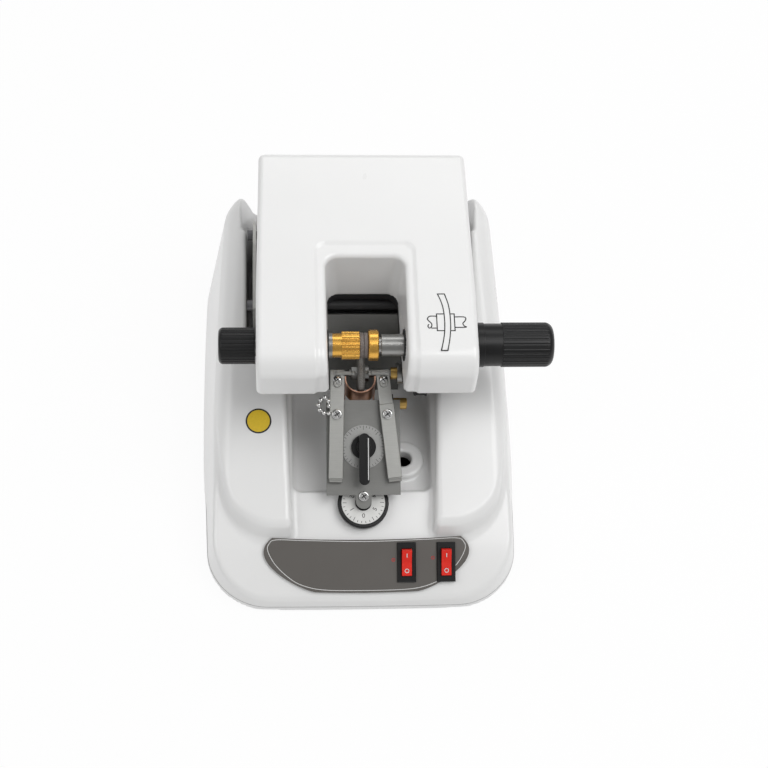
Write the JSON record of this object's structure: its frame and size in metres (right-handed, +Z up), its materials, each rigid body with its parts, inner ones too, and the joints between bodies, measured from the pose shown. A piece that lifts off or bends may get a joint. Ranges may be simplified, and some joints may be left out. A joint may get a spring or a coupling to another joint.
{
  "type": "lens groover",
  "caption": "Bench machine that cuts a groove round a spectacle lens, with a hinged lens head, a cutting wheel, guide arms and a depth dial.",
  "frame": {"origin": "on the table under the middle of the machine's bounding box, knobs included", "axes": "+X to the right as the user faces the panel, +Y to the back, +Z up"},
  "size_m": [0.1955, 0.2414, 0.1418],
  "materials": {
    "shell_white": "glossy moulded",
    "dark_plastic": "matt moulded",
    "black_knob": "satin moulded",
    "rubber_black": "matt",
    "pad_grey": "matt",
    "steel_sheet": "brushed sheet",
    "steel_bar": "turned bar",
    "screw_steel": "bright plated",
    "gold_metal": "gold plated",
    "brass_metal": "turned",
    "copper_strip": "bright copper",
    "panel_grey": "satin printed sheet",
    "rocker_red": "glossy translucent",
    "dial_white": "printed",
    "board_green": "lacquered board",
    "motor_metal": "plated can",
    "grit_wheel": "fine grit"
  },
  "bodies": {
    "base": {"base_shell": "shell_white", "base_plate": "steel_sheet", "base_plate_screws": "screw_steel", "rubber_feet": "rubber_black", "panel_label": "panel_grey", "switch_bodies": "black_knob", "mains_inlet": "dark_plastic", "fuse_holder": "dark_plastic", "transformer": "motor_metal", "circuit_board": "board_green", "left_hinge_bracket": "steel_sheet", "right_hinge_bracket": "steel_sheet", "bracket_bolts": "motor_metal", "head_pivot_bolts": "motor_metal", "head_rest_bar": "dark_plastic", "splash_guard": "dark_plastic", "wheel_motor": "motor_metal", "motor_plate": "steel_sheet", "drive_belt": "rubber_black", "bearing_block": "steel_bar", "wheel_bush": "brass_metal", "wheel_guard": "copper_strip", "stage_bracket": "steel_sheet", "stage_pin": "brass_metal", "dial_bush": "brass_metal"},
    "left_rocker": {"left_rocker": "rocker_red"},
    "right_rocker": {"right_rocker": "rocker_red"},
    "wheel": {"wheel_shaft": "steel_bar", "grooving_wheel": "grit_wheel", "wheel_pulley": "dark_plastic"},
    "motor_rotor": {"motor_shaft": "steel_bar"},
    "dial": {"depth_dial": "black_knob", "dial_face": "dial_white", "depth_stem": "steel_bar"},
    "stage": {"stage_plate": "steel_sheet", "stage_screws": "screw_steel", "position_scale": "screw_steel", "bead_chain": "steel_bar"},
    "lever": {"selector_lever": "black_knob"},
    "left_arm": {"left_arm": "steel_sheet"},
    "right_arm": {"right_arm": "steel_sheet"},
    "head": {"head_cover": "shell_white", "head_tub": "dark_plastic", "head_frame": "steel_sheet", "head_bushes": "dark_plastic", "head_belts": "rubber_black", "lens_motor": "motor_metal"},
    "left_turner": {"left_spindle": "steel_bar", "left_chuck": "gold_metal", "left_pad": "pad_grey", "left_knob": "black_knob"},
    "layshaft": {"layshaft": "steel_bar", "layshaft_wheels": "dark_plastic"},
    "pinion": {"motor_pinion": "brass_metal"},
    "right_turner": {"right_drive_pulley": "steel_bar"},
    "clamp": {"right_spindle": "steel_bar", "right_disc": "gold_metal", "right_pad": "pad_grey", "right_knob": "black_knob", "clamp_spring": "steel_bar"}
  },
  "joints": [
    {"name": "head_swing", "type": "hinge", "parent": "base", "child": "head", "pos_m": [-0.0054, 0.07931, 0.09], "axis": [-1, 0, 0], "range_deg": [0, 50]},
    {"name": "lens_spin", "type": "hinge", "parent": "head", "child": "left_turner", "pos_m": [-0.0454, -0.01169, 0.115], "axis": [1, 0, 0], "continuous": true},
    {"name": "layshaft_spin", "type": "hinge", "parent": "head", "child": "layshaft", "pos_m": [-0.0054, 0.04531, 0.116], "axis": [1, 0, 0], "continuous": true},
    {"name": "pinion_spin", "type": "hinge", "parent": "head", "child": "pinion", "pos_m": [-0.0404, 0.06631, 0.116], "axis": [1, 0, 0], "continuous": true},
    {"name": "right_spin", "type": "hinge", "parent": "head", "child": "right_turner", "pos_m": [0.044, -0.01169, 0.115], "axis": [1, 0, 0], "continuous": true},
    {"name": "clamp_slide", "type": "slide", "parent": "right_turner", "child": "clamp", "axis": [1, 0, 0], "range_m": [0, 0.01], "stiffness_N_per_m": 200, "springref_m": -0.01, "deforming": ["clamp_spring"]},
    {"name": "left_rocker_tilt", "type": "hinge", "parent": "base", "child": "left_rocker", "pos_m": [0.019, -0.10188, 0.02555], "axis": [-1, 0, 0], "range_deg": [0, 20]},
    {"name": "right_rocker_tilt", "type": "hinge", "parent": "base", "child": "right_rocker", "pos_m": [0.0416, -0.10188, 0.02555], "axis": [-1, 0, 0], "range_deg": [0, 20]},
    {"name": "wheel_spin", "type": "hinge", "parent": "base", "child": "wheel", "pos_m": [-0.0054, -0.00669, 0.076], "axis": [1, 0, 0], "continuous": true},
    {"name": "motor_spin", "type": "hinge", "parent": "base", "child": "motor_rotor", "pos_m": [0.0246, 0.04431, 0.055], "axis": [1, 0, 0], "continuous": true},
    {"name": "dial_turn", "type": "hinge", "parent": "base", "child": "dial", "pos_m": [-0.0054, -0.07109, 0.0402], "axis": [0, -0.2588, 0.9659], "range_deg": [0, 270]},
    {"name": "stage_tilt", "type": "hinge", "parent": "base", "child": "stage", "pos_m": [-0.0054, -0.01869, 0.062], "axis": [-1, 0, 0], "range_deg": [0, 2.4]},
    {"name": "lever_turn", "type": "hinge", "parent": "stage", "child": "lever", "pos_m": [-0.0054, -0.04558, 0.05982], "axis": [0, -0.4695, 0.8829], "range_deg": [-20, 20]},
    {"name": "left_arm_open", "type": "hinge", "parent": "stage", "child": "left_arm", "pos_m": [-0.0205, -0.02925, 0.0685], "axis": [0, -0.4695, 0.8829], "range_deg": [0, 12], "stiffness_Nm_per_rad": 0.03, "springref_deg": -11.46},
    {"name": "right_arm_open", "type": "hinge", "parent": "stage", "child": "right_arm", "pos_m": [0.0081, -0.02925, 0.0685], "axis": [0, -0.4695, 0.8829], "range_deg": [-12, 0]}
  ],
  "couplings": [
    {"joint": "layshaft_spin", "follows": "lens_spin", "ratio": 1},
    {"joint": "pinion_spin", "follows": "lens_spin", "ratio": -2.5},
    {"joint": "right_spin", "follows": "lens_spin", "ratio": 1},
    {"joint": "motor_spin", "follows": "wheel_spin", "ratio": 2.6667},
    {"joint": "stage_tilt", "follows": "dial_turn", "ratio": 0.0085185},
    {"joint": "right_arm_open", "follows": "left_arm_open", "ratio": -1}
  ]
}
